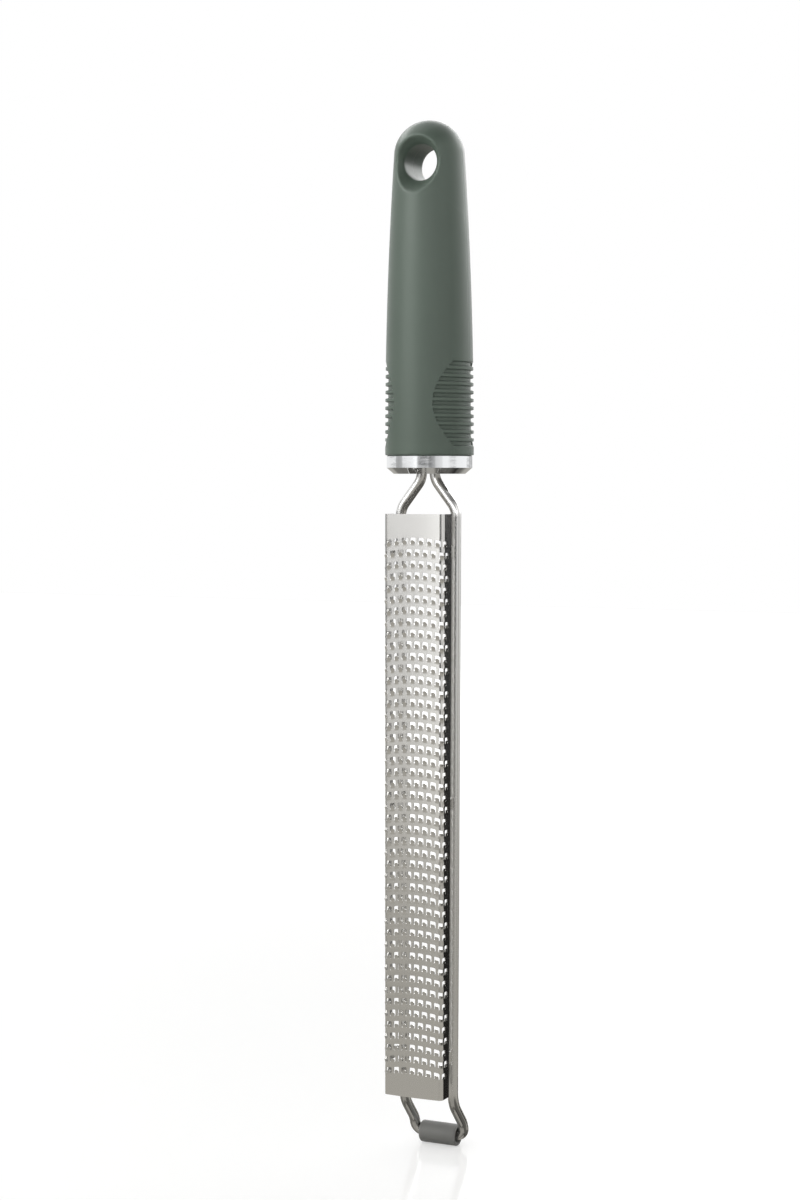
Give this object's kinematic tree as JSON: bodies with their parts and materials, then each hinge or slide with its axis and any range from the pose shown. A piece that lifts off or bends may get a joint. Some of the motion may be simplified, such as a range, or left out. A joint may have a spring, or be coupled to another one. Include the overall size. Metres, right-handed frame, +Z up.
{
  "type": "rasp zester",
  "caption": "Rasp zester: round soft handle with a hanging hole and ribbed sides, polished collar, bent wire frame, a long toothed channel blade and a soft sleeve foot.",
  "frame": {"origin": "centre of the hanging hole in the handle", "axes": "+Z up the tool towards the round end of the handle, -Y out of the toothed face, X across the blade, foot leaning towards +Y"},
  "size_m": [0.0294, 0.0294, 0.3415],
  "materials": {
    "soft_grip": "soft satin, grey green",
    "core_plastic": "plain moulded",
    "collar_chrome": "polished",
    "wire_steel": "polished, fine draw lines",
    "blade_steel": "satin, etched teeth",
    "sleeve_rubber": "matte silicone, grey"
  },
  "bodies": {
    "tool": {"grip": "soft_grip", "handle_core": "core_plastic", "collar": "collar_chrome", "wire_frame": "wire_steel", "foot_wire": "wire_steel", "blade": "blade_steel"},
    "foot": {"foot_sleeve": "sleeve_rubber"}
  },
  "joints": [
    {"name": "foot_turn", "type": "hinge", "parent": "tool", "child": "foot", "pos_m": [0, 0.0087, -0.3234], "axis": [1, 0, 0], "continuous": true}
  ]
}
